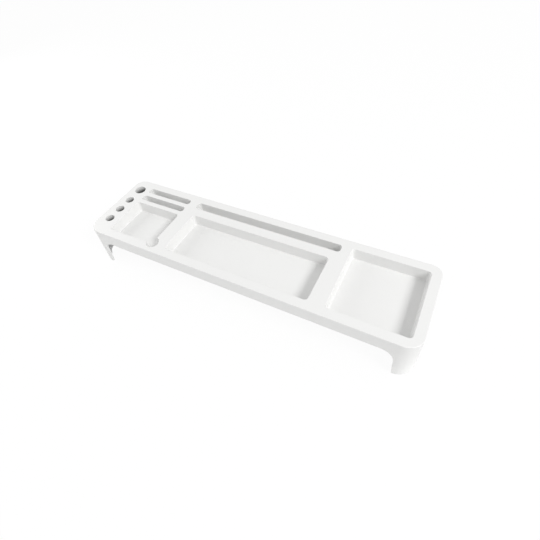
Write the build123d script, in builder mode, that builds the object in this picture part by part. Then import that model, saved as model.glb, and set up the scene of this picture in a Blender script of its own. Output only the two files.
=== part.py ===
"""Desk organiser tray that bridges a keyboard: one moulded shell, a pen cup block and rubber feet.

+X runs along the length with the pen holes at -X, +Y points to the back and +Z up.
The origin is on the desk, under the middle of the shell.
"""

import os
from math import degrees, radians, sqrt, tan
from typing import NamedTuple

from build123d import *

os.makedirs("parts", exist_ok=True)

# Overall size in millimetres, with the deck measured at its top face
deck_length = 581.0
deck_depth = 150.0
overall_height = 76.0

# Shell moulding
front_corner_radius = 24.0
rear_corner_radius = 17.5
outer_draft = 2.3
wall = 2.4
corner_thickness = 5.8
deck_thickness = 2.4
skirt_below_floor = 1.7
top_edge_radius = 1.0
mouth_edge_radius = 0.6

# Arch between the legs, the same at the front and the back
leg_width = 30.0
leg_edge_slope = 6.0
arch_radius = 20.0

# Shallow relief under each end panel, between its two feet
relief_height = 4.3
relief_foot_length = 17.5
relief_radius = 3.0

# Ribs under the deck
rib_count = 8
rib_thickness = 1.6
rib_height = 12.0

# Trays and slots
pocket_depth = 19.4
pocket_wall = 2.2
floor_thickness = 2.4
tray_corner_radius = 5.5
tray_floor_radius = 1.2
tray_draft = 6.5
slot_corner_radius = 4.8
slot_floor_radius = 2.0
slot_draft = 2.0

# Where the trays and slots lie on the deck
front_margin = 15.5
rear_margin = 14.8
right_margin = 15.1
memo_start = 39.4
memo_length = 95.6
right_tray_length = 120.3
memo_to_centre_land = 26.1
centre_to_right_land = 26.9
short_slot_width = 12.1
short_slot_land = 8.8
long_slot_width = 15.2
long_slot_land = 17.1
long_slot_left_overhang = 8.6
long_slot_right_overhang = 10.3

# Round finger notch at the front right corner of the memo tray
notch_radius = 11.0
notch_inset_x = 1.0
notch_inset_y = 3.5
notch_lip_radius = 2.0

# Pen holes in one column, three for pens and a wider one at the back for markers
pen_column_inset = 19.8
pen_first_inset = 37.0
pen_hole_count = 3
pen_hole_diameter = 16.0
marker_hole_diameter = 20.4
marker_rear_inset = 26.7
marker_extra_land = 2.0

# Pen cup block under those holes
cup_step = 0.3
cup_wall = 1.8
cup_floor_thickness = 2.0
cup_desk_clearance = 10.0
cup_rim_clearance = 0.2
cup_edge_radius = 1.5
strap_thickness = 2.4
strap_width = 10.0

# Self-tapping screws that hold the cup block to bosses under the deck
screw_diameter = 2.9
screw_length = 11.0
screw_head_diameter = 5.6
screw_head_height = 2.2
screw_head_radius = 0.8
screw_recess_length = 3.2
screw_recess_width = 0.8
screw_recess_depth = 1.1
screw_hole_clearance = 0.25
thread_clearance = 0.05
screw_tip_room = 1.0
boss_cap = 3.0
boss_diameter = 6.4
boss_to_cup_gap = 1.0

# Rubber pads under the corners of the legs, held by pegs pushed up into sockets
pad_stand = 1.0
pad_width = 4.4
pad_length = 13.0
pad_edge_inset = 0.4
pad_edge_radius = 0.4
peg_count = 2
peg_spacing = 8.5
peg_diameter = 2.2
peg_length = 7.0
peg_tip_chamfer = 0.4
peg_tip_room = 1.0
peg_clearance = 0.1

# Levels above the desk
deck_top = overall_height
deck_underside = deck_top - deck_thickness
floor_underside = deck_top - pocket_depth - floor_thickness
skirt_bottom = floor_underside - skirt_below_floor
shell_bottom = pad_stand
shell_height = deck_top - shell_bottom
relief_top = shell_bottom + relief_height
boss_height = screw_length - strap_thickness + screw_tip_room + boss_cap
boss_bottom = deck_underside - boss_height
strap_bottom = boss_bottom - strap_thickness
cup_top = deck_underside - cup_rim_clearance

# Half sizes of the shell, at the deck and where it flares to its lower edge
half_length = deck_length / 2
half_depth = deck_depth / 2
flare = shell_height * tan(radians(outer_draft))
core_inset = wall - deck_thickness * tan(radians(outer_draft))
core_corner_growth = (corner_thickness - wall) / (sqrt(2) - 1) - core_inset


class Pocket(NamedTuple):
    """Outline of one tray or slot at the deck's top face."""

    x_min: float
    x_max: float
    y_min: float
    y_max: float
    corner: float
    floor_radius: float
    draft: float
    notched: bool


class Corner(NamedTuple):
    """Centre of a corner's round, the way that it faces, in degrees from +X, and its radius at the deck."""

    name: str
    x: float
    y: float
    outward: float
    radius: float


# Trays and slots, laid out from the deck's edges inwards
tray_front = front_margin - half_depth
slot_back = half_depth - rear_margin
memo_left = memo_start - half_length
memo_right = memo_left + memo_length
right_tray_right = half_length - right_margin
right_tray_left = right_tray_right - right_tray_length
centre_left = memo_right + memo_to_centre_land
centre_right = right_tray_left - centre_to_right_land
rear_slot_front = slot_back - short_slot_width
card_slot_back = rear_slot_front - short_slot_land
card_slot_front = card_slot_back - short_slot_width
memo_back = card_slot_front - short_slot_land
long_slot_front = slot_back - long_slot_width
centre_back = long_slot_front - long_slot_land
long_slot_left = centre_left - long_slot_left_overhang
long_slot_right = centre_right + long_slot_right_overhang

tray_form = (tray_corner_radius, tray_floor_radius, tray_draft)
slot_form = (slot_corner_radius, slot_floor_radius, slot_draft)
pockets = [
    Pocket(memo_left, memo_right, tray_front, memo_back, *tray_form, True),
    Pocket(memo_left, memo_right, card_slot_front, card_slot_back, *slot_form, False),
    Pocket(memo_left, memo_right, rear_slot_front, slot_back, *slot_form, False),
    Pocket(centre_left, centre_right, tray_front, centre_back, *tray_form, False),
    Pocket(long_slot_left, long_slot_right, long_slot_front, slot_back, *slot_form, False),
    Pocket(right_tray_left, right_tray_right, tray_front, slot_back, *tray_form, False),
]
notch_centre = (memo_right - notch_inset_x, tray_front + notch_inset_y)

# Pen holes as centre and radius, from front to back, with even lands and a wider one before the last
pen_x = pen_column_inset - half_length
pen_first_y = pen_first_inset - half_depth
marker_y = half_depth - marker_rear_inset
column_front = pen_first_y - pen_hole_diameter / 2
column_back = marker_y - marker_hole_diameter / 2
pen_pitch = (column_back - marker_extra_land - column_front) / pen_hole_count
pen_holes = [
    ((pen_x, pen_first_y + index * pen_pitch), pen_hole_diameter / 2)
    for index in range(pen_hole_count)
]
pen_holes.append(((pen_x, marker_y), marker_hole_diameter / 2))

# A screw ahead of the first cup and one behind the last
boss_reach = cup_step + cup_wall + boss_to_cup_gap + boss_diameter / 2
front_screw_y = column_front - boss_reach
rear_screw_y = marker_y + marker_hole_diameter / 2 + boss_reach
screw_points = [(pen_x, front_screw_y), (pen_x, rear_screw_y)]

# Rounds of the corners, wider at the front than at the back
front_x = half_length - front_corner_radius
front_y = front_corner_radius - half_depth
rear_x = half_length - rear_corner_radius
rear_y = half_depth - rear_corner_radius
corners = [
    Corner("front_left", -front_x, front_y, 225.0, front_corner_radius),
    Corner("front_right", front_x, front_y, 315.0, front_corner_radius),
    Corner("rear_left", -rear_x, rear_y, 135.0, rear_corner_radius),
    Corner("rear_right", rear_x, rear_y, 45.0, rear_corner_radius),
]

# Ribs, spread between the ends of the outer trays
rib_spacing = (right_tray_right - memo_left) / (rib_count + 1)
rib_middle = (right_tray_right + memo_left) / 2


def rounded_outline(inset, corner_growth):
    """Outline of the deck moved in by an inset, with its corners rounded more by a growth."""
    with BuildSketch() as outline:
        Rectangle(deck_length - 2 * inset, deck_depth - 2 * inset)
        fillet(outline.vertices().group_by(Axis.Y)[0], front_corner_radius + corner_growth)
        fillet(outline.vertices().group_by(Axis.Y)[-1], rear_corner_radius + corner_growth)
    return outline.sketch


def pad_radius(corner):
    """Radius of a pad's middle line, inside the lower edge of the wall."""
    return corner.radius + flare - pad_edge_inset - pad_width / 2


def peg_places(corner):
    """Places of a pad's pegs on its middle line, about the centre of its corner."""
    radius = pad_radius(corner)
    sweep = degrees(peg_spacing / radius)
    return PolarLocations(radius, peg_count, corner.outward - sweep / 2, sweep, endpoint=True)


def pocket_solid(pocket, grow, depth, floor_radius):
    """Drafted solid that fills a pocket from the deck's top down, grown sideways by a wall."""
    middle = ((pocket.x_min + pocket.x_max) / 2, (pocket.y_min + pocket.y_max) / 2)
    length = pocket.x_max - pocket.x_min + 2 * grow
    width = pocket.y_max - pocket.y_min + 2 * grow
    with BuildPart() as solid:
        with BuildSketch(Plane.XY.offset(deck_top)) as outline:
            with Locations(middle):
                RectangleRounded(length, width, pocket.corner + grow)
            if pocket.notched:
                with Locations(notch_centre):
                    Circle(notch_radius + grow)
                lips = outline.vertices().sort_by_distance(notch_centre)[:2]
                fillet(lips, notch_lip_radius)
        extrude(amount=-depth, taper=pocket.draft)
        if floor_radius:
            fillet(solid.faces().sort_by(Axis.Z)[0].edges(), floor_radius)
    return solid.part


deck_outline = rounded_outline(0, 0)
core_outline = rounded_outline(core_inset, core_corner_growth)
pocket_hollows = [pocket_solid(p, 0, pocket_depth, p.floor_radius) for p in pockets]
pocket_blocks = [pocket_solid(p, pocket_wall, pocket_depth + floor_thickness, 0) for p in pockets]

# Inside of the shell: the hollow under the deck, less the pockets, bosses and ribs
with BuildPart() as shell_core:
    with BuildSketch(Plane.XY.offset(deck_underside)):
        add(core_outline)
    extrude(amount=-deck_underside, taper=-outer_draft)
    add(pocket_blocks, mode=Mode.SUBTRACT)
    with BuildSketch(Plane.XY.offset(boss_bottom)):
        with Locations(*screw_points):
            Circle(boss_diameter / 2)
    extrude(amount=deck_top - boss_bottom, mode=Mode.SUBTRACT)
    with BuildSketch(Plane.XY.offset(deck_underside - rib_height)):
        with Locations((rib_middle, 0)):
            with GridLocations(rib_spacing, 0, rib_count, 1):
                Rectangle(rib_thickness, deck_depth)
    extrude(amount=rib_height + deck_thickness, mode=Mode.SUBTRACT)

# Shell: deck, skirt and end panels in one moulding
with BuildPart() as tray_shell:
    with BuildSketch(Plane.XY.offset(deck_top)):
        add(deck_outline)
    extrude(amount=-shell_height, taper=-outer_draft)
    add(shell_core.part, mode=Mode.SUBTRACT)
    add(pocket_hollows, mode=Mode.SUBTRACT)
    # Pen holes through the deck
    with BuildSketch(Plane.XY.offset(deck_top)):
        for centre, radius in pen_holes:
            with Locations(centre):
                Circle(radius)
    extrude(amount=-deck_thickness, mode=Mode.SUBTRACT)
    # Pilot holes for the screws and sockets for the pads' pegs
    with BuildSketch(Plane.XY.offset(boss_bottom)):
        with Locations(*screw_points):
            Circle(screw_diameter / 2 + thread_clearance)
    extrude(amount=boss_height - boss_cap, mode=Mode.SUBTRACT)
    with BuildSketch(Plane.XY.offset(shell_bottom)):
        for corner in corners:
            with Locations((corner.x, corner.y)):
                with peg_places(corner):
                    Circle(peg_diameter / 2 + peg_clearance)
    extrude(amount=peg_length + peg_tip_room, mode=Mode.SUBTRACT)
    # Arch through the front and the back
    with BuildSketch(Plane.XZ) as arch:
        arch_half_top = half_length - leg_width
        arch_half_bottom = arch_half_top + skirt_bottom * tan(radians(leg_edge_slope))
        with BuildLine():
            Polyline(
                (-arch_half_bottom, 0),
                (-arch_half_top, skirt_bottom),
                (arch_half_top, skirt_bottom),
                (arch_half_bottom, 0),
                close=True,
            )
        make_face()
        fillet(arch.vertices().group_by(Axis.Y)[-1], arch_radius)
    extrude(amount=deck_depth, both=True, mode=Mode.SUBTRACT)
    # Relief under each end panel, between the pads
    relief_half = half_depth + flare - relief_foot_length
    for x_sign in (-1, 1):
        with BuildSketch(Plane.YZ.offset(x_sign * front_x)) as relief:
            with Locations((0, relief_top / 2)):
                Rectangle(2 * relief_half, relief_top)
            fillet(relief.vertices().group_by(Axis.Y)[-1], relief_radius)
        extrude(amount=x_sign * (front_corner_radius + 2 * flare), mode=Mode.SUBTRACT)
    # Soft edges around the deck and at the mouths of the pockets and pen holes
    deck_face = tray_shell.faces().sort_by(Axis.Z)[-1]
    fillet(deck_face.outer_wire().edges(), top_edge_radius)
    deck_face = tray_shell.faces().sort_by(Axis.Z)[-1]
    fillet([edge for wire in deck_face.inner_wires() for edge in wire.edges()], mouth_edge_radius)
tray_shell.part.label = "tray_shell"
export_step(tray_shell.part, "parts/tray_shell.step")

# Pen cup block: four deep cups on one strap, with both ends screwed up against their bosses
with BuildPart() as pen_cup_block:
    with BuildSketch(Plane.XY.offset(cup_desk_clearance)):
        for centre, radius in pen_holes:
            with Locations(centre):
                Circle(radius + cup_step + cup_wall)
    extrude(amount=cup_top - cup_desk_clearance)
    fillet(pen_cup_block.faces().group_by(Axis.Z)[0].edges(), cup_edge_radius)
    with BuildSketch(Plane.XY.offset(strap_bottom)):
        with Locations((pen_x, (front_screw_y + rear_screw_y) / 2)):
            SlotCenterToCenter(rear_screw_y - front_screw_y, strap_width, rotation=90)
    extrude(amount=strap_thickness)
    with BuildSketch(Plane.XY.offset(cup_desk_clearance + cup_floor_thickness)):
        for centre, radius in pen_holes:
            with Locations(centre):
                Circle(radius + cup_step)
    extrude(amount=cup_top - cup_desk_clearance - cup_floor_thickness, mode=Mode.SUBTRACT)
    with BuildSketch(Plane.XY.offset(strap_bottom)):
        with Locations(*screw_points):
            Circle(screw_diameter / 2 + screw_hole_clearance)
    extrude(amount=strap_thickness, mode=Mode.SUBTRACT)
pen_cup_block.part.label = "pen_cup_block"
export_step(pen_cup_block.part, "parts/pen_cup_block.step")

# Cross-head screws, driven from below
with BuildPart() as pen_cup_screws:
    with BuildSketch(Plane.XY.offset(strap_bottom - screw_head_height)):
        with Locations(*screw_points):
            Circle(screw_head_diameter / 2)
    extrude(amount=screw_head_height)
    fillet(pen_cup_screws.edges().group_by(Axis.Z)[0], screw_head_radius)
    with BuildSketch(Plane.XY.offset(strap_bottom)):
        with Locations(*screw_points):
            Circle(screw_diameter / 2)
    extrude(amount=screw_length)
    with BuildSketch(Plane.XY.offset(strap_bottom - screw_head_height)):
        with Locations(*screw_points):
            Rectangle(screw_recess_length, screw_recess_width)
            Rectangle(screw_recess_width, screw_recess_length)
    extrude(amount=screw_recess_depth, mode=Mode.SUBTRACT)
pen_cup_screws.part.label = "pen_cup_screws"
export_step(pen_cup_screws.part, "parts/pen_cup_screws.step")

# Rubber pads, one under each corner
for corner in corners:
    radius = pad_radius(corner)
    sweep = degrees(pad_length / radius)
    with BuildLine() as pad_line:
        CenterArc((corner.x, corner.y), radius, corner.outward - sweep / 2, sweep)
    with BuildPart() as foot:
        with BuildSketch(Plane.XY):
            SlotArc(pad_line.wire(), pad_width)
        extrude(amount=pad_stand)
        fillet(foot.edges().group_by(Axis.Z)[0], pad_edge_radius)
        with BuildSketch(Plane.XY.offset(pad_stand)):
            with Locations((corner.x, corner.y)):
                with peg_places(corner):
                    Circle(peg_diameter / 2)
        extrude(amount=peg_length)
        chamfer(foot.edges().group_by(Axis.Z)[-1], peg_tip_chamfer)
    foot.part.label = f"foot_{corner.name}"
    export_step(foot.part, f"parts/foot_{corner.name}.step")
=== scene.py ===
"""Looks of a white moulded desk tray: finishes for its pieces, a white floor, soft light and the camera.

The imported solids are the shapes. A length is in metres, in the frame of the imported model, or in
millimetres where its name ends in mm.
"""

import logging
import math
from dataclasses import dataclass, field
from enum import Enum, IntEnum
from typing import Any

import bpy
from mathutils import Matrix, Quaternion, Vector


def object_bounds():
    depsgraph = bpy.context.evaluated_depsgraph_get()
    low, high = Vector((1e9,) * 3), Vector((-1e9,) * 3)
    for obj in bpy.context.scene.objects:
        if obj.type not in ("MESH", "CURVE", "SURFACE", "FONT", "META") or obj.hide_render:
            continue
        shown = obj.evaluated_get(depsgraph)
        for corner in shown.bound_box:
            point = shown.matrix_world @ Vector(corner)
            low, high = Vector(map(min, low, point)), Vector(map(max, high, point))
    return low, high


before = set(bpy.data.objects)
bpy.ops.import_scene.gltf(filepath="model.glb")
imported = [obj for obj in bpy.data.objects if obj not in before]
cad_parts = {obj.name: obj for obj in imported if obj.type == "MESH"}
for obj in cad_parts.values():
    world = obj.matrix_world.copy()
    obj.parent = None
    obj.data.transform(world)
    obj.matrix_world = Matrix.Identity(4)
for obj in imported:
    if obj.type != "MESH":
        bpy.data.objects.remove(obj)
cad_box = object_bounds()

LOG = logging.getLogger("desk_tray")
MM = 0.001
IMAGE_SIDE_PX = 540
WHITE_LIGHT = (1.0, 1.0, 1.0, 1.0)

# The sRGB curve: a straight stretch next to black, then a power
SRGB_STRAIGHT_END = 0.04045
SRGB_STRAIGHT_SLOPE = 12.92
SRGB_OFFSET = 0.055
SRGB_POWER = 2.4


class Node(Enum):
    """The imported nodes, by name."""

    SHELL = "tray_shell"
    CUPS = "pen_cup_block"
    SCREWS = "pen_cup_screws"
    FOOT_FRONT_LEFT = "foot_front_left"
    FOOT_FRONT_RIGHT = "foot_front_right"
    FOOT_REAR_LEFT = "foot_rear_left"
    FOOT_REAR_RIGHT = "foot_rear_right"


class MixColour(IntEnum):
    """The numbers of a mix node's colour sockets, which share their names with its other sockets."""

    SHARE = 0
    FIRST = 6
    SECOND = 7
    RESULT = 2


class MixShader(IntEnum):
    """The numbers of a mix shader's inputs, two of which share a name."""

    SHARE = 0
    FIRST = 1
    SECOND = 2


def linear_from_hex(code: str) -> tuple[float, float, float, float]:
    """Turn an sRGB hex colour into the linear colour that shaders take.

    Args:
        code: Six hex digits, with or without a leading mark.

    Returns:
        Red, green, blue and an alpha of one.
    """
    linear = []
    for byte in bytes.fromhex(code.lstrip("#")):
        channel = byte / 255
        if channel <= SRGB_STRAIGHT_END:
            linear.append(channel / SRGB_STRAIGHT_SLOPE)
        else:
            linear.append(((channel + SRGB_OFFSET) / (1 + SRGB_OFFSET)) ** SRGB_POWER)
    return (*linear, 1.0)


def add_node(
    tree: bpy.types.NodeTree,
    kind: str,
    inputs: dict[Any, Any] | None = None,
    **settings: Any,
) -> bpy.types.Node:
    """Add a node with its settings, and fill or link its inputs.

    Args:
        tree: The node tree that gets the node.
        kind: The node's type, such as ShaderNodeBump.
        inputs: Input name or number to a plain value, or to the output socket that feeds it.
        **settings: Properties of the node.

    Returns:
        The new node.
    """
    node = tree.nodes.new(kind)
    for name, value in settings.items():
        setattr(node, name, value)
    for name, value in (inputs or {}).items():
        if isinstance(value, bpy.types.NodeSocket):
            tree.links.new(value, node.inputs[name])
        else:
            node.inputs[name].default_value = value
    return node


def new_tree(owner: bpy.types.Material | bpy.types.World) -> bpy.types.NodeTree:
    """Give a material or a world an empty node tree.

    Args:
        owner: The material or world.

    Returns:
        Its node tree, with nothing in it.
    """
    owner.use_nodes = True
    owner.node_tree.nodes.clear()
    return owner.node_tree


@dataclass(frozen=True)
class MouldedPlastic:
    """Injection-moulded ABS with a fine spark-eroded surface.

    It gives the eye an even white with a broad soft sheen and no mirror image. The grain of the tool
    is finer than a pixel, so it is drawn coarse enough to break up the sheen.
    """

    name: str = "white_abs_moulded"
    colour: str = "#E3E3E2"
    shade: str = "#E1E1E0"
    roughness: float = 0.42
    roughness_spread: float = 0.07
    grain_mm: float = 1.1
    grain_depth_mm: float = 0.012
    sheen_patch_mm: float = 28.0
    tone_patch_mm: float = 70.0
    ior: float = 1.54

    def base_colour(self, tree: bpy.types.NodeTree, place: bpy.types.NodeSocket) -> bpy.types.NodeSocket:
        """Let the plastic's tone drift a little across the moulding.

        Args:
            tree: The node tree that gets the nodes.
            place: The socket with the place on the object, in metres.

        Returns:
            A socket with the colour.
        """
        tone = add_node(
            tree,
            "ShaderNodeTexNoise",
            {"Vector": place, "Scale": 1 / (self.tone_patch_mm * MM), "Detail": 2.0, "Roughness": 0.5},
        )
        mixed = add_node(
            tree,
            "ShaderNodeMix",
            {
                MixColour.SHARE: tone.outputs["Fac"],
                MixColour.FIRST: linear_from_hex(self.shade),
                MixColour.SECOND: linear_from_hex(self.colour),
            },
            data_type="RGBA",
        )
        return mixed.outputs[MixColour.RESULT]

    def build(self) -> bpy.types.Material:
        """Build the material.

        Returns:
            The finished material.
        """
        material = bpy.data.materials.new(self.name)
        tree = new_tree(material)
        place = add_node(tree, "ShaderNodeTexCoord").outputs["Object"]
        patches = add_node(
            tree,
            "ShaderNodeTexNoise",
            {"Vector": place, "Scale": 1 / (self.sheen_patch_mm * MM), "Detail": 3.0},
        )
        roughness = add_node(
            tree,
            "ShaderNodeMapRange",
            {
                "Value": patches.outputs["Fac"],
                "To Min": self.roughness - self.roughness_spread,
                "To Max": self.roughness + self.roughness_spread,
            },
        )
        grain = add_node(
            tree,
            "ShaderNodeTexNoise",
            {"Vector": place, "Scale": 1 / (self.grain_mm * MM), "Detail": 2.0, "Roughness": 0.6},
        )
        bump = add_node(
            tree,
            "ShaderNodeBump",
            {"Height": grain.outputs["Fac"], "Distance": self.grain_depth_mm * MM, "Strength": 1.0},
        )
        shader = add_node(
            tree,
            "ShaderNodeBsdfPrincipled",
            {
                "Base Color": self.base_colour(tree, place),
                "Roughness": roughness.outputs["Result"],
                "IOR": self.ior,
                "Normal": bump.outputs["Normal"],
            },
        )
        add_node(tree, "ShaderNodeOutputMaterial", {"Surface": shader.outputs["BSDF"]})
        return material


@dataclass(frozen=True)
class Well:
    """The axis of one pen well, at floor height, and the reach from it to the middle of the well's wall."""

    axis: tuple[float, float, float]
    reach: float


@dataclass(frozen=True)
class WellColumn:
    """Sizes of the column of wells in the pen cups: even ones for pens, then a wider one for a marker."""

    x_mm: float = -270.7
    first_y_mm: float = -38.0
    pitch_mm: float = 27.37
    pen_wells: int = 3
    pen_bore_mm: float = 16.6
    marker_y_mm: float = 48.3
    marker_bore_mm: float = 21.0
    wall_mm: float = 1.8

    def wells(self) -> list[Well]:
        """Work out the wells.

        Returns:
            The wells, from the front of the tray to the back.
        """
        pens = [self.first_y_mm + index * self.pitch_mm for index in range(self.pen_wells)]
        bores = [(y, self.pen_bore_mm) for y in pens] + [(self.marker_y_mm, self.marker_bore_mm)]
        return [Well((self.x_mm * MM, y * MM, 0.0), (bore + self.wall_mm) / 2 * MM) for y, bore in bores]


@dataclass(frozen=True)
class WellPlasticPaintedShade(MouldedPlastic):
    """Moulded ABS of the pen cups, white outside and at the mouths, with painted shade that greys the wells
    down inside.

    The photo shows the tone inside the holes fall steeply with depth, further than shade alone takes it.
    """

    name: str = "white_abs_pen_cups_painted_shade"
    # Painted shade: the grey that the insides of the wells reach far under the mouths.
    painted_shade_colour: str = "#6E6E6D"
    mouth_mm: float = field(kw_only=True)
    shade_start_depth_mm: float = 3.6
    shade_full_depth_mm: float = 10.6
    column: WellColumn = WellColumn()

    def outside(self, tree: bpy.types.NodeTree, place: bpy.types.NodeSocket) -> bpy.types.NodeSocket:
        """Tell the outside of the cups from the inside of their wells.

        Args:
            tree: The node tree that gets the nodes.
            place: The socket with the place on the object, in metres.

        Returns:
            A socket that is one further out than the middle of every well's wall, and nought within.
        """
        without_height = (1.0, 1.0, 0.0)
        flat = add_node(
            tree,
            "ShaderNodeVectorMath",
            {0: place, 1: without_height},
            operation="MULTIPLY",
        )
        beyond = []
        for well in self.column.wells():
            away = add_node(
                tree,
                "ShaderNodeVectorMath",
                {0: flat.outputs["Vector"], 1: well.axis},
                operation="DISTANCE",
            )
            past = add_node(
                tree,
                "ShaderNodeMath",
                {0: away.outputs["Value"], 1: well.reach},
                operation="GREATER_THAN",
            )
            beyond.append(past.outputs["Value"])
        share = beyond[0]
        for other in beyond[1:]:
            both = add_node(tree, "ShaderNodeMath", {0: share, 1: other}, operation="MINIMUM")
            share = both.outputs["Value"]
        return share

    def base_colour(self, tree: bpy.types.NodeTree, place: bpy.types.NodeSocket) -> bpy.types.NodeSocket:
        """Paint shade into the wells, greyer with depth under the mouths.

        Args:
            tree: The node tree that gets the nodes.
            place: The socket with the place on the object, in metres.

        Returns:
            A socket with the colour.
        """
        height = add_node(tree, "ShaderNodeSeparateXYZ", {"Vector": place})
        painted_shade_fade = add_node(
            tree,
            "ShaderNodeMapRange",
            {
                "Value": height.outputs["Z"],
                "From Min": (self.mouth_mm - self.shade_full_depth_mm) * MM,
                "From Max": (self.mouth_mm - self.shade_start_depth_mm) * MM,
            },
        )
        share = add_node(
            tree,
            "ShaderNodeMath",
            {0: painted_shade_fade.outputs["Result"], 1: self.outside(tree, place)},
            operation="MAXIMUM",
        )
        # Painted shade: grey mixed in down inside the wells, white above them and outside.
        mixed = add_node(
            tree,
            "ShaderNodeMix",
            {
                MixColour.SHARE: share.outputs["Value"],
                MixColour.FIRST: linear_from_hex(self.painted_shade_colour),
                MixColour.SECOND: super().base_colour(tree, place),
            },
            data_type="RGBA",
        )
        return mixed.outputs[MixColour.RESULT]


@dataclass(frozen=True)
class ZincPlatedSteel:
    """Bright zinc plate on a pressed steel screw: pale metal with a slightly cloudy reflection."""

    name: str = "zinc_plated_steel"
    colour: str = "#C9CCD0"
    shade: str = "#A9ADB2"
    roughness: float = 0.34
    roughness_spread: float = 0.08
    cloud_mm: float = 1.6
    scratch_mm: float = 0.35
    scratch_depth_mm: float = 0.01

    def build(self) -> bpy.types.Material:
        """Build the material.

        Returns:
            The finished material.
        """
        material = bpy.data.materials.new(self.name)
        tree = new_tree(material)
        place = add_node(tree, "ShaderNodeTexCoord").outputs["Object"]
        clouds = add_node(
            tree,
            "ShaderNodeTexNoise",
            {"Vector": place, "Scale": 1 / (self.cloud_mm * MM), "Detail": 4.0},
        )
        colour = add_node(
            tree,
            "ShaderNodeMix",
            {
                MixColour.SHARE: clouds.outputs["Fac"],
                MixColour.FIRST: linear_from_hex(self.shade),
                MixColour.SECOND: linear_from_hex(self.colour),
            },
            data_type="RGBA",
        )
        roughness = add_node(
            tree,
            "ShaderNodeMapRange",
            {
                "Value": clouds.outputs["Fac"],
                "To Min": self.roughness - self.roughness_spread,
                "To Max": self.roughness + self.roughness_spread,
            },
        )
        scratches = add_node(
            tree,
            "ShaderNodeTexNoise",
            {"Vector": place, "Scale": 1 / (self.scratch_mm * MM), "Detail": 3.0},
        )
        bump = add_node(
            tree,
            "ShaderNodeBump",
            {"Height": scratches.outputs["Fac"], "Distance": self.scratch_depth_mm * MM},
        )
        shader = add_node(
            tree,
            "ShaderNodeBsdfPrincipled",
            {
                "Base Color": colour.outputs[MixColour.RESULT],
                "Metallic": 1.0,
                "Roughness": roughness.outputs["Result"],
                "Normal": bump.outputs["Normal"],
            },
        )
        add_node(tree, "ShaderNodeOutputMaterial", {"Surface": shader.outputs["BSDF"]})
        return material


@dataclass(frozen=True)
class SoftRubber:
    """Moulded silicone rubber: pale grey, dull, with a fine matt grain that picks up dust."""

    name: str = "silicone_rubber"
    colour: str = "#D6D6D3"
    dust: str = "#C2C1BD"
    roughness: float = 0.72
    dust_mm: float = 4.0
    grain_mm: float = 0.5
    grain_depth_mm: float = 0.03
    ior: float = 1.43

    def build(self) -> bpy.types.Material:
        """Build the material.

        Returns:
            The finished material.
        """
        material = bpy.data.materials.new(self.name)
        tree = new_tree(material)
        place = add_node(tree, "ShaderNodeTexCoord").outputs["Object"]
        dust = add_node(
            tree,
            "ShaderNodeTexNoise",
            {"Vector": place, "Scale": 1 / (self.dust_mm * MM), "Detail": 3.0},
        )
        colour = add_node(
            tree,
            "ShaderNodeMix",
            {
                MixColour.SHARE: dust.outputs["Fac"],
                MixColour.FIRST: linear_from_hex(self.colour),
                MixColour.SECOND: linear_from_hex(self.dust),
            },
            data_type="RGBA",
        )
        grain = add_node(
            tree,
            "ShaderNodeTexNoise",
            {"Vector": place, "Scale": 1 / (self.grain_mm * MM), "Detail": 2.0},
        )
        bump = add_node(
            tree,
            "ShaderNodeBump",
            {"Height": grain.outputs["Fac"], "Distance": self.grain_depth_mm * MM},
        )
        shader = add_node(
            tree,
            "ShaderNodeBsdfPrincipled",
            {
                "Base Color": colour.outputs[MixColour.RESULT],
                "Roughness": self.roughness,
                "IOR": self.ior,
                "Normal": bump.outputs["Normal"],
            },
        )
        add_node(tree, "ShaderNodeOutputMaterial", {"Surface": shader.outputs["BSDF"]})
        return material


Finish = MouldedPlastic | ZincPlatedSteel | SoftRubber


@dataclass
class SubAssembly:
    """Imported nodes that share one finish."""

    nodes: list[Node]
    finish: Finish

    def dress(self) -> None:
        """Put the finish on every node of the sub-assembly."""
        material = self.finish.build()
        for node in self.nodes:
            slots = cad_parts[node.value].data.materials
            slots.clear()
            slots.append(material)
            LOG.info("%s wears %s", node.value, material.name)


@dataclass
class Lamp:
    """One soft area lamp, aimed at a point of the tray."""

    name: str
    place: Vector
    aim: Vector
    side: float
    power: float

    def build(self) -> None:
        """Add the lamp to the scene."""
        data = bpy.data.lights.new(self.name, "AREA")
        data.shape = "SQUARE"
        data.size = self.side
        data.energy = self.power
        lamp = bpy.data.objects.new(self.name, data)
        lamp.location = self.place
        lamp.rotation_euler = (self.aim - self.place).to_track_quat("-Z", "Y").to_euler()
        bpy.context.collection.objects.link(lamp)


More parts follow.
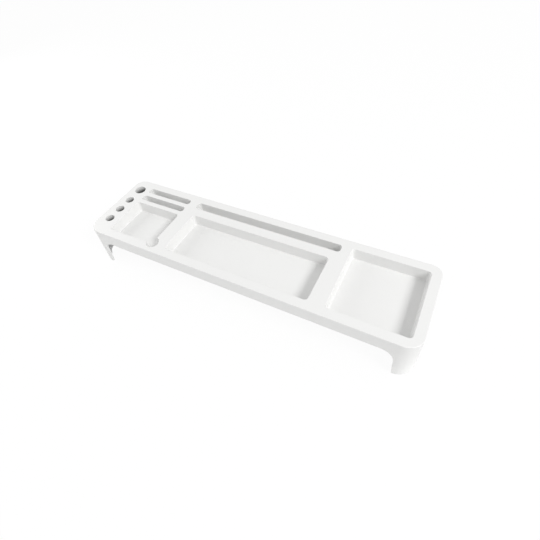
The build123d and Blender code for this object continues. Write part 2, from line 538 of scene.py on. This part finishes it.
@dataclass
class Studio:
    """White floor, white surroundings and soft lamps."""

    floor_side: float = 14.0
    floor_colour: str = "#F4F4F4"
    floor_glow: float = 0.95
    card_colour: str = "#707070"
    card_start: float = 0.31
    card_end: float = 0.48
    ambient: float = 0.63
    lamps: list[Lamp] = field(default_factory=list)

    def build_floor(self) -> None:
        """Add the floor under the feet, which looks white and keeps a pale shadow.

        Past the right end it throws less light back, as a grey card would, so that the end panel there
        doesn't burn out. Only gathered light meets the card: to the camera the floor stays white.
        """
        bpy.ops.object.select_all(action="DESELECT")
        bpy.ops.mesh.primitive_plane_add(size=self.floor_side, location=(0.0, 0.0, cad_box[0].z))
        floor = bpy.context.object
        floor.name = "floor"
        material = bpy.data.materials.new("white_floor")
        tree = new_tree(material)
        place = add_node(tree, "ShaderNodeTexCoord").outputs["Object"]
        across = add_node(tree, "ShaderNodeSeparateXYZ", {"Vector": place})
        card = add_node(
            tree,
            "ShaderNodeMapRange",
            {"Value": across.outputs["X"], "From Min": self.card_start, "From Max": self.card_end},
        )
        seen = self.seen_ray(tree)
        gathered = add_node(
            tree,
            "ShaderNodeMath",
            {0: card.outputs["Result"], 1: seen},
            operation="SUBTRACT",
            use_clamp=True,
        )
        colour = add_node(
            tree,
            "ShaderNodeMix",
            {
                MixColour.SHARE: gathered.outputs["Value"],
                MixColour.FIRST: linear_from_hex(self.floor_colour),
                MixColour.SECOND: linear_from_hex(self.card_colour),
            },
            data_type="RGBA",
        )
        lit = add_node(tree, "ShaderNodeBsdfDiffuse", {"Color": colour.outputs[MixColour.RESULT]})
        glow = add_node(tree, "ShaderNodeEmission", {"Color": WHITE_LIGHT, "Strength": 1.0})
        share = add_node(tree, "ShaderNodeMath", {0: seen, 1: self.floor_glow}, operation="MULTIPLY")
        surface = add_node(
            tree,
            "ShaderNodeMixShader",
            {
                MixShader.SHARE: share.outputs["Value"],
                MixShader.FIRST: lit.outputs["BSDF"],
                MixShader.SECOND: glow.outputs["Emission"],
            },
        )
        add_node(tree, "ShaderNodeOutputMaterial", {"Surface": surface.outputs["Shader"]})
        floor.data.materials.append(material)

    def build_world(self) -> None:
        """Make the surroundings white to look at and soft as a light."""
        world = bpy.data.worlds.new("white_room")
        tree = new_tree(world)
        light = add_node(tree, "ShaderNodeBackground", {"Color": WHITE_LIGHT, "Strength": self.ambient})
        backdrop = add_node(tree, "ShaderNodeBackground", {"Color": WHITE_LIGHT, "Strength": 1.0})
        mixed = add_node(
            tree,
            "ShaderNodeMixShader",
            {
                MixShader.SHARE: self.seen_ray(tree),
                MixShader.FIRST: light.outputs["Background"],
                MixShader.SECOND: backdrop.outputs["Background"],
            },
        )
        add_node(tree, "ShaderNodeOutputWorld", {"Surface": mixed.outputs["Shader"]})
        bpy.context.scene.world = world

    def seen_ray(self, tree: bpy.types.NodeTree) -> bpy.types.NodeSocket:
        """Tell rays that look at a surface from rays that gather light.

        Args:
            tree: The node tree that gets the nodes.

        Returns:
            A socket that is one for camera, glossy and transmission rays and nought for the rest.
        """
        path = add_node(tree, "ShaderNodeLightPath")
        mirrored = add_node(
            tree,
            "ShaderNodeMath",
            {0: path.outputs["Is Camera Ray"], 1: path.outputs["Is Glossy Ray"]},
            operation="MAXIMUM",
        )
        seen = add_node(
            tree,
            "ShaderNodeMath",
            {0: mirrored.outputs["Value"], 1: path.outputs["Is Transmission Ray"]},
            operation="MAXIMUM",
        )
        return seen.outputs["Value"]

    def build(self) -> None:
        """Build the floor, the surroundings and the lamps."""
        self.build_floor()
        self.build_world()
        for lamp in self.lamps:
            lamp.build()


@dataclass
class PhotoCamera:
    """Camera at the photograph's place: above the front right, with a wide lens and a small roll."""

    place: Vector
    aim: Vector
    roll_deg: float
    focal_px: float

    def build(self) -> None:
        """Add the camera and make it the scene's own."""
        data = bpy.data.cameras.new("photo_camera")
        data.sensor_fit = "HORIZONTAL"
        data.lens = data.sensor_width * self.focal_px / IMAGE_SIDE_PX
        camera = bpy.data.objects.new("photo_camera", data)
        level = (self.aim - self.place).to_track_quat("-Z", "Y")
        roll = Quaternion((0.0, 0.0, 1.0), math.radians(self.roll_deg))
        camera.location = self.place
        camera.rotation_euler = (level @ roll).to_euler()
        bpy.context.collection.objects.link(camera)
        bpy.context.scene.camera = camera


def main() -> None:
    """Dress the nodes, then build the studio and the camera."""
    logging.basicConfig(level=logging.INFO, format="%(name)s: %(message)s")
    bpy.context.scene.view_settings.view_transform = "Standard"
    deck_height = cad_box[1].z
    feet = [Node.FOOT_FRONT_LEFT, Node.FOOT_FRONT_RIGHT, Node.FOOT_REAR_LEFT, Node.FOOT_REAR_RIGHT]
    for part in (
        SubAssembly([Node.SHELL], MouldedPlastic()),
        # The pen cups' wells carry painted shade, grey with depth.
        SubAssembly([Node.CUPS], WellPlasticPaintedShade(mouth_mm=deck_height / MM)),
        SubAssembly([Node.SCREWS], ZincPlatedSteel()),
        SubAssembly(feet, SoftRubber()),
    ):
        part.dress()
    middle = Vector((0.0, 0.0, deck_height))
    right_key = Lamp("right_key", place=Vector((2.58, -0.6, 2.2)), aim=middle, side=1.0, power=75.9)
    left_fill = Lamp("left_fill", place=Vector((-1.4, 0.0, 0.5)), aim=middle, side=0.85, power=8.3)
    Studio(lamps=[right_key, left_fill]).build()
    PhotoCamera(
        place=Vector((0.243, -0.3262, deck_height + 0.4272)),
        aim=Vector((0.0549, -0.0306, deck_height)),
        roll_deg=-7.02,
        focal_px=360.6,
    ).build()


if __name__ == "__main__":
    main()
